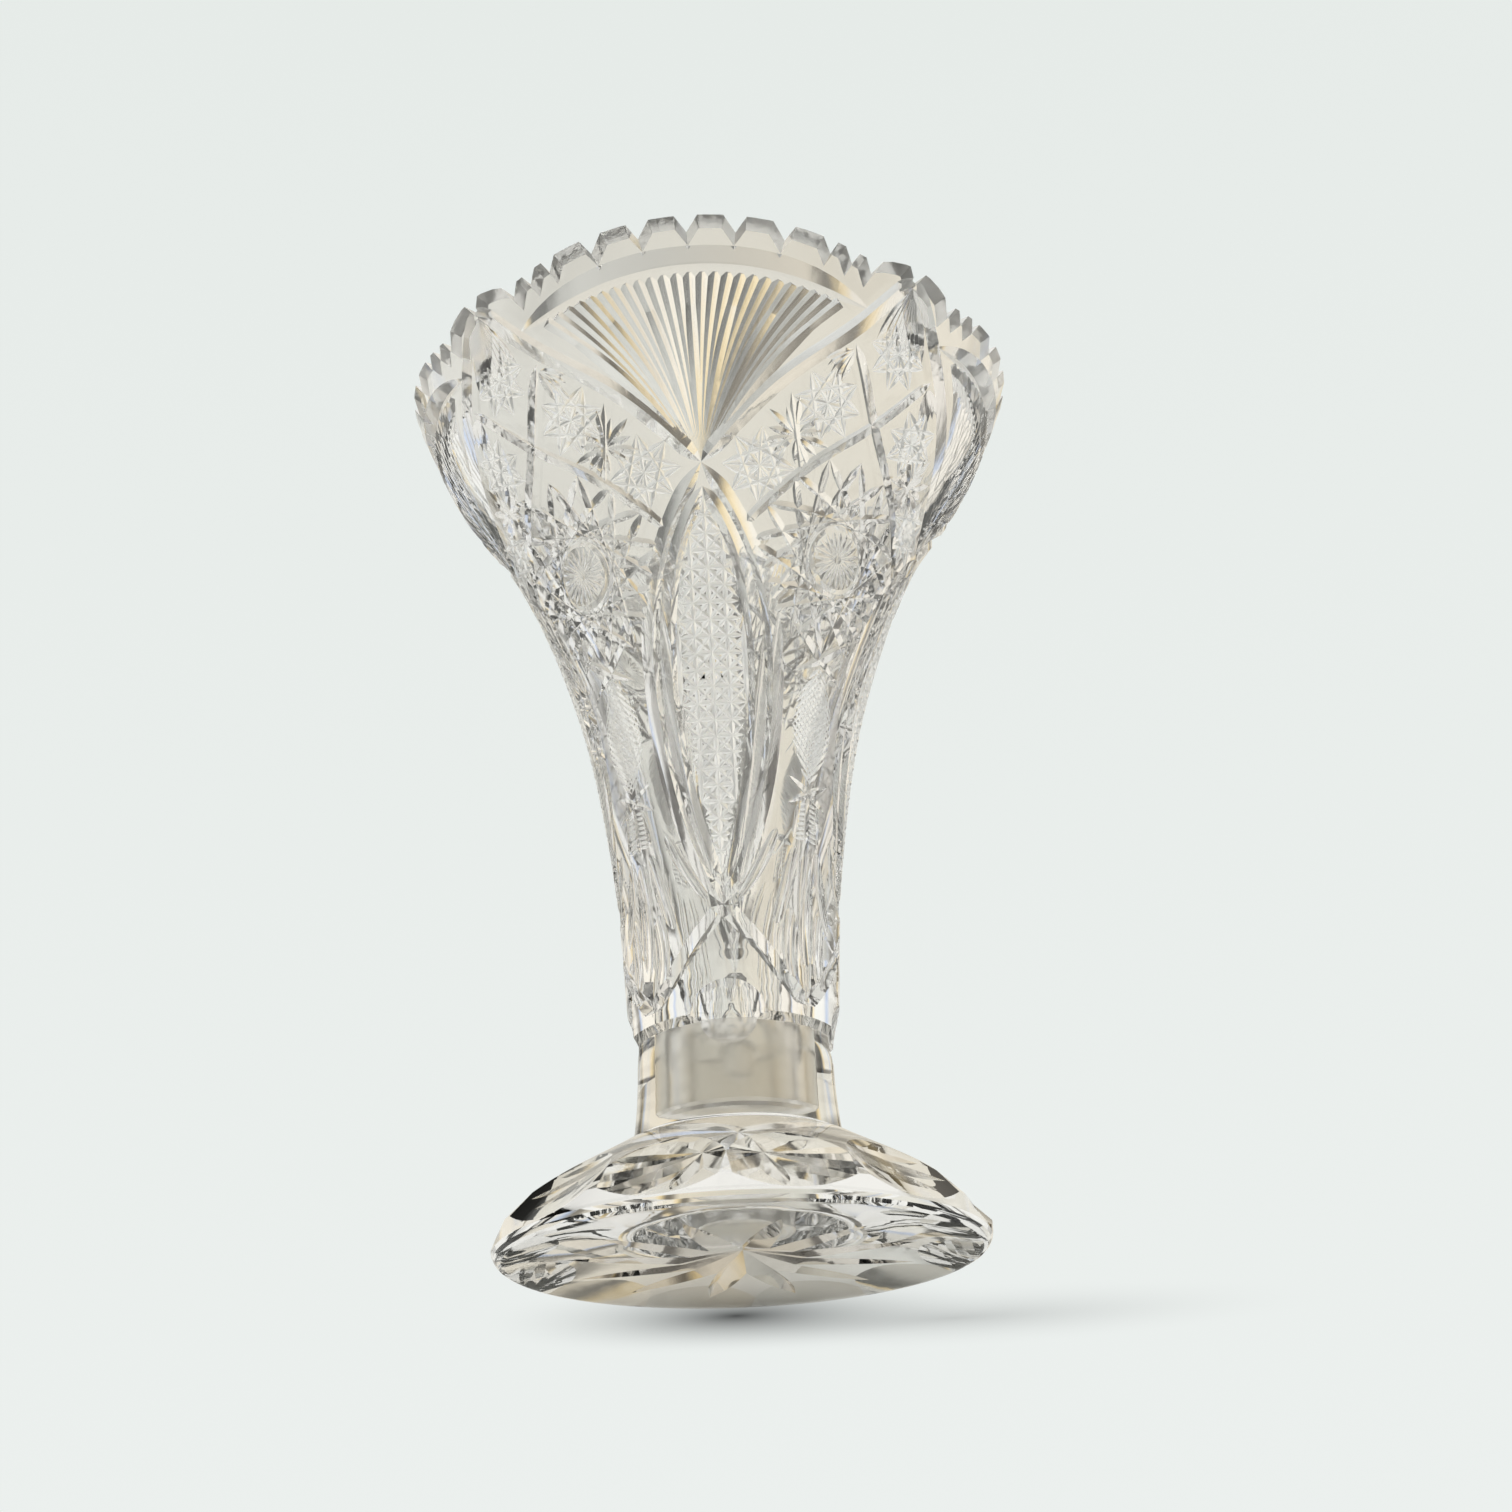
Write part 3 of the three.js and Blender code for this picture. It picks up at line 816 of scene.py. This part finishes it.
def grind(glass, cutters, name):
    """What is left of a piece of glass when the cutters are taken from it."""
    mesh = meshed(glass, name)
    give_finishes(mesh)
    whole = placed(name, mesh)
    bench = bpy.data.collections.new(f"{name}_cutters")
    bpy.context.scene.collection.children.link(bench)
    for cutter in cutters:
        bench.objects.link(cutter)
    wheel = whole.modifiers.new("wheel", "BOOLEAN")
    wheel.operation = "DIFFERENCE"
    wheel.solver = "MANIFOLD"
    wheel.operand_type = "COLLECTION"
    wheel.collection = bench
    depsgraph = bpy.context.evaluated_depsgraph_get()
    ground = bmesh.new()
    ground.from_mesh(bpy.data.meshes.new_from_object(whole.evaluated_get(depsgraph)))
    for cutter in cutters:
        bpy.data.objects.remove(cutter)
    bpy.data.collections.remove(bench)
    bpy.data.objects.remove(whole)
    return ground


def finished_piece(name, mesh, joint_side):
    """A piece in the scene, with its finishes. Its face at the joint looks up (1) or down (-1)."""
    give_finishes(mesh)
    for face in mesh.polygons:
        is_level = face.normal.z * joint_side > joint_flatness
        if is_level and abs(face.center.z - neck_foot) < joint_tolerance:
            face.material_index = fused
    mesh.shade_smooth()
    mesh.set_sharp_from_angle(angle=sharp_angle)
    return placed(name, mesh)


eighth = grind(blank, cuts, "eighth")
seam_turns = (Matrix.Identity(3), Matrix.Rotation(math.radians(corner_angle), 3, "Z"))
for seam_turn, keep in zip(seam_turns, (1, -1)):
    bmesh.ops.bisect_plane(eighth, geom=eighth.verts[:] + eighth.edges[:] + eighth.faces[:],
                           plane_co=(0, 0, 0), plane_no=seam_turn @ Vector((-keep, 0, 0)),
                           dist=weld_distance, clear_outer=True)
bmesh.ops.remove_doubles(eighth, verts=eighth.verts, dist=chip_size)
for seam_turn in seam_turns:
    across_seam = seam_turn @ Vector((1, 0, 0))
    slivers = [f for f in eighth.faces if all(abs(v.co.dot(across_seam)) < seam_thickness for v in f.verts)]
    bmesh.ops.delete(eighth, geom=slivers, context="FACES")
eighth_mesh = meshed(eighth, "eighth")
vase = bmesh.new()
for panel in range(panels):
    panel_turn = Matrix.Rotation(math.radians(panel * 360 / panels), 3, "Z")
    for side in (1, -1):
        copy = bmesh.new()
        copy.from_mesh(eighth_mesh)
        if side < 0:
            bmesh.ops.scale(copy, verts=copy.verts, vec=(-1, 1, 1))
            bmesh.ops.reverse_faces(copy, faces=copy.faces)
        bmesh.ops.rotate(copy, verts=copy.verts, matrix=panel_turn)
        vase.from_mesh(meshed(copy, "eighth_copy"))
bmesh.ops.remove_doubles(vase, verts=vase.verts, dist=seam_weld)
bmesh.ops.holes_fill(vase, edges=[e for e in vase.edges if e.is_boundary], sides=0)
bmesh.ops.delete(vase, geom=[e for e in vase.edges if e.is_wire], context="EDGES")
body_piece = finished_piece("cut_trumpet_body", meshed(vase, "trumpet_body_cut"), joint_side=-1)
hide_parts("trumpet_body")
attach(body_piece, "root")

# The foot: a thick pressed disc of the same crystal, its dome ground into twelve broad flutes that scallop
# the crease over its edge, its underside cut with a twelve-rayed star. It is fused to the neck while hot.
foot_radius = foot_high.x
foot_edge_height = 6.5 * mm
foot_round = 3.6 * mm
crease_radius = 55.6 * mm
crease_height = 13 * mm
fillet_radius = 4 * mm
dome_swell = 0.6 * mm
dome_rows = 14
foot_segments = 144
flute_count = 12
foot_flute_depth = 1.3 * mm
foot_flute_lean = math.radians(45)
flute_wheel_width = 110 * mm
flute_wheel_sides = 320
ray_reach = 44 * mm
ray_width = 7.6 * mm
ray_slope = 1.35
ray_fall = 4
ray_steps = 16
foot_blank = bmesh.new()
foot_section = [(0, 0), (foot_radius - foot_round, 0)]
foot_section += [(foot_radius - foot_round + foot_round * math.sin(math.radians(turn)),
                  foot_round - foot_round * math.cos(math.radians(turn))) for turn in range(18, 91, 18)]
foot_section += [(foot_radius, foot_edge_height), (crease_radius, crease_height)]
# The dome's swell is fullest a third of the way up, where the curve below is 4 / 27 before it is scaled
for i in range(1, dome_rows + 1):
    rise = i / dome_rows
    swell = dome_swell * 27 / 4 * rise * (1 - rise) ** 2
    foot_section.append((crease_radius + (neck_radius + fillet_radius - crease_radius) * rise,
                         crease_height + (foot_high.z - fillet_radius / 2 - crease_height) * rise + swell))
foot_section += [(neck_radius + fillet_radius * (1 - math.sin(math.radians(turn))),
                  foot_high.z - fillet_radius / 2 * math.cos(math.radians(turn)) ** 2)
                 for turn in range(15, 91, 15)]
foot_section.append((0, foot_high.z))
profile = [foot_blank.verts.new((radius, 0, height)) for radius, height in foot_section]
outline = [foot_blank.edges.new(pair) for pair in zip(profile, profile[1:])]
bmesh.ops.spin(foot_blank, geom=profile + outline, cent=(0, 0, 0), axis=(0, 0, 1), angle=2 * math.pi,
               steps=foot_segments, use_merge=True)
bmesh.ops.remove_doubles(foot_blank, verts=foot_blank.verts, dist=weld_distance)
bmesh.ops.recalc_face_normals(foot_blank, faces=foot_blank.faces)
foot_cuts = []
half_chord = crease_radius * math.sin(math.pi / flute_count)
flute_wheel = (half_chord ** 2 + foot_flute_depth ** 2) / (2 * foot_flute_depth)
wheel_offset = flute_wheel - foot_flute_depth
chord_radius = crease_radius * math.cos(math.pi / flute_count)
for k in range(flute_count):
    wheel = bmesh.new()
    bmesh.ops.create_cone(wheel, cap_ends=True, segments=flute_wheel_sides, radius1=flute_wheel,
                          radius2=flute_wheel, depth=flute_wheel_width)
    lay = Matrix.Rotation(math.pi / 2 + foot_flute_lean, 4, "X")
    place = Matrix.Translation((0, -chord_radius - wheel_offset * math.sin(foot_flute_lean),
                                crease_height + wheel_offset * math.cos(foot_flute_lean)))
    turn = Matrix.Rotation((k + 0.5) * 2 * math.pi / flute_count, 4, "Z")
    bmesh.ops.transform(wheel, verts=wheel.verts, matrix=turn @ place @ lay)
    foot_cuts.append(finished_cutter(meshed(wheel, f"foot_flute_{k}"), thick))
for k in range(flute_count):
    ray = bmesh.new()
    bmesh.ops.create_cone(ray, cap_ends=True, segments=3, radius1=1, radius2=1, depth=1)
    divide(ray, ray_steps)
    for corner in ray.verts:
        along = corner.co.z + 0.5
        depth = ray_width / 2 / ray_slope * (1 - along ** ray_fall) - end_clearance
        up = depth - (1 - corner.co.y) / bar_depth * (depth + cutter_lift)
        across = corner.co.x / bar_half_width * (depth + cutter_lift) * ray_slope
        corner.co = Vector((across, -ray_reach * along, up))
    turn = Matrix.Rotation((k + 0.5) * 2 * math.pi / flute_count, 3, "Z")
    bmesh.ops.rotate(ray, verts=ray.verts, matrix=turn)
    bmesh.ops.recalc_face_normals(ray, faces=ray.faces)
    foot_cuts.append(finished_cutter(meshed(ray, f"foot_ray_{k}"), grey))
foot_mesh = meshed(grind(foot_blank, foot_cuts, "foot_blank"), "foot_cut")
foot_piece = finished_piece("star_cut_foot", foot_mesh, joint_side=1)
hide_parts("foot")
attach(foot_piece, "root")

# The camera stands low, a little to the right, and looks up at the vase
camera_turn = 3
camera_distance = 0.521
camera_height = -0.1119
camera_pan = 2.02
camera_tilt = 115.64
camera_roll = -2.63
sensor_width_mm = 36
lens_mm = 49.92
camera = placed("camera", bpy.data.cameras.new("camera"))
camera.data.sensor_width = sensor_width_mm
camera.data.lens = lens_mm
camera.location = (camera_distance * math.sin(math.radians(camera_turn)),
                   -camera_distance * math.cos(math.radians(camera_turn)), camera_height)
camera.rotation_euler = (Matrix.Rotation(math.radians(camera_pan), 3, "Z")
                         @ Matrix.Rotation(math.radians(camera_tilt), 3, "X")
                         @ Matrix.Rotation(math.radians(camera_roll), 3, "Z")).to_euler()
bpy.context.scene.camera = camera
bpy.context.scene.view_settings.view_transform = "Standard"

# The room: a pale surround. The glass also sees narrow dark cards in it, which the camera doesn't, as in a
# glass studio: three upright ones behind the vase and a level one at its foot, with warm and blue edges.
surround = bpy.data.worlds.new("pale_room")
bpy.context.scene.world = surround
surround.use_nodes = True
sky = surround.node_tree


def blended(tree, share, stops):
    """A colour ramp over a share of 0 to 1, from a list of stops, each a share and a colour."""
    ramp = add_node(tree, "ShaderNodeValToRGB", inputs={0: share})
    points = ramp.color_ramp.elements
    while len(points) < len(stops):
        points.new(1)
    for point, (position, colour) in zip(points, stops):
        point.position = position
        point.color = linear(colour)
    return ramp.outputs["Color"]


way = add_node(sky, "ShaderNodeTexCoord")
parts = add_node(sky, "ShaderNodeSeparateXYZ", inputs={"Vector": way.outputs["Generated"]})
bearing = add_node(sky, "ShaderNodeMath", {"operation": "ARCTAN2"},
                   {0: parts.outputs["X"], 1: parts.outputs["Y"]})
around = add_node(sky, "ShaderNodeMapRange", inputs={
    "Value": bearing.outputs[0], "From Min": -math.pi, "From Max": math.pi})
elevation = add_node(sky, "ShaderNodeMath", {"operation": "ARCSINE"}, {0: parts.outputs["Z"]})
upward = add_node(sky, "ShaderNodeMapRange", inputs={
    "Value": elevation.outputs[0], "From Min": -math.pi / 2, "From Max": math.pi / 2})


def bearing_share(degrees):
    """Where a bearing lies on the ramp round the room: 0 is straight behind the vase, 90 to its right."""
    return (degrees + 180) / 360


def rise_share(degrees):
    """Where an elevation lies on the ramp from straight down to straight up."""
    return (degrees + 90) / 180


walls = blended(sky, around.outputs["Result"], [(bearing_share(degrees), colour) for degrees, colour in (
    (-180, "#fafaf8"), (-66, "#f6f6f4"), (-60, "#c9dafb"), (-57, "#ffffff"), (-46, "#fbfcfa"),
    (-43.5, "#ffe9b8"), (-41, "#5c5c5a"), (-35, "#5c5c5a"), (-31, "#c8c9c6"), (-25, "#e4e5e2"),
    (-10, "#dbdad5"), (3, "#e2ddd2"), (16, "#efe7d8"), (19, "#7d766b"), (21.5, "#7d766b"),
    (24.5, "#ffe9b8"), (28, "#fff9ee"), (52, "#fffaf2"), (54.5, "#c9dafb"), (57, "#8f8a82"),
    (60, "#8f8a82"), (66, "#fbf6ee"), (180, "#fafaf8"),
)])
heights = blended(sky, upward.outputs["Result"], [(rise_share(degrees), colour) for degrees, colour in (
    (-90, "#c4c2be"), (-4, "#d8d6d1"), (-1, "#5d5a57"), (3, "#5d5a57"), (5.5, "#fffefb"), (14, "#f4f2ee"),
    (20, "#fffefa"), (40, "#fffefa"), (46, "#eceae6"), (56, "#dedcd7"), (62, "#ffffff"), (90, "#ffffff"),
)])
backdrop = blended(sky, upward.outputs["Result"], [(rise_share(4), "#ecf0ee"), (rise_share(46), "#e6ebe8")])
rays = add_node(sky, "ShaderNodeLightPath")
room = mixed_colour(sky, 1, walls, heights, blend="MULTIPLY")
seen = mixed_colour(sky, rays.outputs["Is Camera Ray"], room, backdrop)
plug(sky, sky.nodes["Background"].inputs["Color"], seen)

# The floor: a pale matt board. From below it shows nothing but a painted soft shadow of the vase, tinted
# into its see-through underside. The glass sees it as a glowing board, painted light: brighter, with painted
# shade right under the foot and two painted shadows behind the foot's sides.
# A painted shadow is given by its centre, its reach and its darkness.
floor_radius = 3
floor_sides = 96
floor_drop = 0.3 * mm
board_roughness = 0.9
near_shadow = ((-0.006, 0.068), (0.072, 0.06), 0.88)
far_shadow = ((0.055, 0.088), (0.105, 0.05), 0.32)
board_reach = 0.5
# The board's glow in the glass, painted light, by distance from the axis: painted shade of the foot under
# it, then bright
board_glow_and_painted_shade = ((0.028, "#57534e"), (0.036, "#e6e4de"), (0.06, "#fbfaf6"), (0.12, "#f4f2ec"),
                 (board_reach, "#e8e6df"))
# Two painted shadows behind the foot's sides, seen only in the glass
painted_shadow_centre = (0.06, 0.095)
painted_shadow_reach = (0.052, 0.06)
painted_shadow_darkness = 2
light_in_painted_shadows = 0.06
floor_build = bmesh.new()
bmesh.ops.create_circle(floor_build, cap_ends=True, segments=floor_sides, radius=floor_radius)
bmesh.ops.translate(floor_build, verts=floor_build.verts, vec=(0, 0, -floor_drop))
floor = placed("floor", meshed(floor_build, "floor"))
floor_paint = bpy.data.materials.new("pale_matt_board")
floor_paint.use_nodes = True
board = floor_paint.node_tree
matt = board.nodes["Principled BSDF"]
plug(board, matt.inputs["Base Color"], linear("#e4e7e7"))
plug(board, matt.inputs["Roughness"], board_roughness)
on_board = add_node(board, "ShaderNodeTexCoord").outputs["Object"]


def soft_spot(centre, reach, darkness):
    """A painted shadow: how much light a soft oval spot on the board takes, its darkness at the centre, and
    none past it.
    """
    moved = add_node(board, "ShaderNodeMapping", {"vector_type": "TEXTURE"},
                     {"Vector": on_board, "Location": (*centre, 0), "Scale": (*reach, 1)})
    spot = add_node(board, "ShaderNodeTexGradient", {"gradient_type": "QUADRATIC_SPHERE"},
                    {"Vector": moved.outputs["Vector"]})
    taken = add_node(board, "ShaderNodeMath", {"operation": "MULTIPLY"},
                     {0: spot.outputs["Fac"], 1: darkness})
    return taken.outputs[0]


def light_past(spots, darkest=0):
    """The light that two spots together leave, from 1 down to the darkest that is given."""
    both = add_node(board, "ShaderNodeMath", {"operation": "ADD"}, dict(enumerate(spots)))
    return add_node(board, "ShaderNodeMapRange", inputs={
        "Value": both.outputs[0], "To Min": 1, "To Max": darkest}).outputs["Result"]


# From below the board lets the view through, tinted darker by the painted shadows
past_painted_shadows = light_past((soft_spot(*near_shadow), soft_spot(*far_shadow)))
see_through = add_node(board, "ShaderNodeBsdfTransparent", inputs={"Color": past_painted_shadows})
from_middle = add_node(board, "ShaderNodeVectorMath", {"operation": "LENGTH"}, {0: on_board})
how_far = add_node(board, "ShaderNodeMapRange", inputs={
    "Value": from_middle.outputs["Value"], "From Max": board_reach})
board_glow_with_painted_shade = blended(board, how_far.outputs["Result"],
                       [(distance / board_reach, colour) for distance, colour in board_glow_and_painted_shade])
# The glass sees the board glowing, a painted light that no lamp gives, dimmed in the two painted shadows
past_painted_side_shadows = light_past([soft_spot((side * painted_shadow_centre[0], painted_shadow_centre[1]), painted_shadow_reach, painted_shadow_darkness)
                           for side in (-1, 1)], darkest=light_in_painted_shadows)
glowing_board_in_glass = add_node(board, "ShaderNodeEmission",
                         inputs={"Color": board_glow_with_painted_shade, "Strength": past_painted_side_shadows})
by_ray = add_node(board, "ShaderNodeLightPath")
in_glass = add_node(board, "ShaderNodeMixShader", inputs={
    "Fac": by_ray.outputs["Is Transmission Ray"], 1: matt.outputs[0], 2: glowing_board_in_glass.outputs[0]})
below = add_node(board, "ShaderNodeNewGeometry")
one_sided = add_node(board, "ShaderNodeMixShader", inputs={
    "Fac": below.outputs["Backfacing"], 1: in_glass.outputs[0], 2: see_through.outputs[0]})
plug(board, board.nodes["Material Output"].inputs["Surface"], one_sided.outputs[0])
floor.data.materials.append(floor_paint)


# Two soft lamps light the vase and the board. The glass neither shows nor mirrors them, so no cut flares.
def lamp(name, size, watts, colour, place, towards=(0, 0, 0.12)):
    """A soft square lamp that faces the vase."""
    light = bpy.data.lights.new(name, "AREA")
    light.size = size
    light.energy = watts
    light.color = linear(colour)[:3]
    held = placed(name, light)
    held.location = place
    held.rotation_euler = (Vector(place) - Vector(towards)).to_track_quat("Z", "Y").to_euler()
    held.visible_transmission = False
    held.visible_glossy = False


lamp("key", size=0.35, watts=6, colour="#fffaf2", place=(-0.6, -0.8, 1.0))
lamp("fill", size=0.5, watts=4, colour="#f4f8ff", place=(0.9, -0.4, 0.8))
